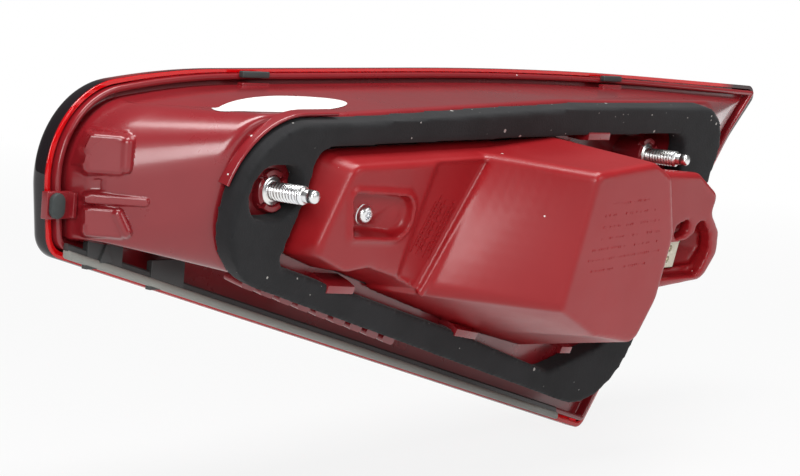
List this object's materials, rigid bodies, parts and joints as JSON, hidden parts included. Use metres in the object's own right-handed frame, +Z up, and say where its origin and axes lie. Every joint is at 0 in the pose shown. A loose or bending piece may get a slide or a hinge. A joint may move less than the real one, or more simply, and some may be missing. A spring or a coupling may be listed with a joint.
{
  "type": "tail_light_cluster",
  "caption": "Rear lamp of a car seen from its mounting side: red housing and lens, foam seal, threaded studs and a stepped rear cover",
  "frame": {"origin": "face of the outer stud's collar on the mounting side, on the stud's axis", "axes": "+X runs along the lamp's top edge from its round outer end to its pointed inner end, +Y points out through the lens, away from the car body, +Z up; both studs point along -Y"},
  "size_m": [0.4189, 0.127, 0.146],
  "materials": {
    "housing_red": "moulded red plastic, satin gloss",
    "lens_red": "clear red, polished",
    "cover_red": "moulded red plastic, soft gloss",
    "seal_foam": "closed cell foam, matt",
    "seal_rubber": "soft rubber",
    "buffer_rubber": "grey rubber",
    "trim_black": "moulded, satin",
    "zinc_steel": "bright zinc plating",
    "label_white": "white film",
    "tray_grey": "metallised plastic",
    "clear_optic": "clear moulded plastic",
    "bezel_grey": "dark grey satin",
    "board_green": "glass fibre board with green resist",
    "led_cream": "cream package",
    "amber": "clear amber",
    "parts_dark": "dark moulded",
    "socket_cream": "cream nylon",
    "pin_tin": "plated brass",
    "wire_green": "soft insulation"
  },
  "bodies": {
    "root": {"housing": "housing_red", "outer_lens": "lens_red", "lower_trim": "trim_black", "foam_seal": "seal_foam", "rear_cover": "cover_red", "cover_seal": "seal_rubber", "cover_screw": "zinc_steel", "outer_stud": "zinc_steel", "inner_stud": "zinc_steel", "end_buffer": "buffer_rubber", "top_buffer_outer": "buffer_rubber", "top_buffer_inner": "buffer_rubber", "oval_label": "label_white", "reflector_tray": "tray_grey", "light_guide": "clear_optic", "inner_bezel": "bezel_grey", "tail_board": "board_green", "stop_board": "board_green", "indicator_board": "board_green", "reverse_board": "board_green", "tail_leds": "led_cream", "stop_leds": "led_cream", "indicator_leds": "led_cream", "reverse_leds": "led_cream", "stop_optic": "lens_red", "indicator_optic": "amber", "reverse_optic": "clear_optic", "reflex_reflector": "lens_red", "driver_board": "board_green", "driver_parts": "parts_dark", "plug_socket": "socket_cream", "plug_pins": "pin_tin", "supply_wire": "wire_green"}
  },
  "joints": []
}
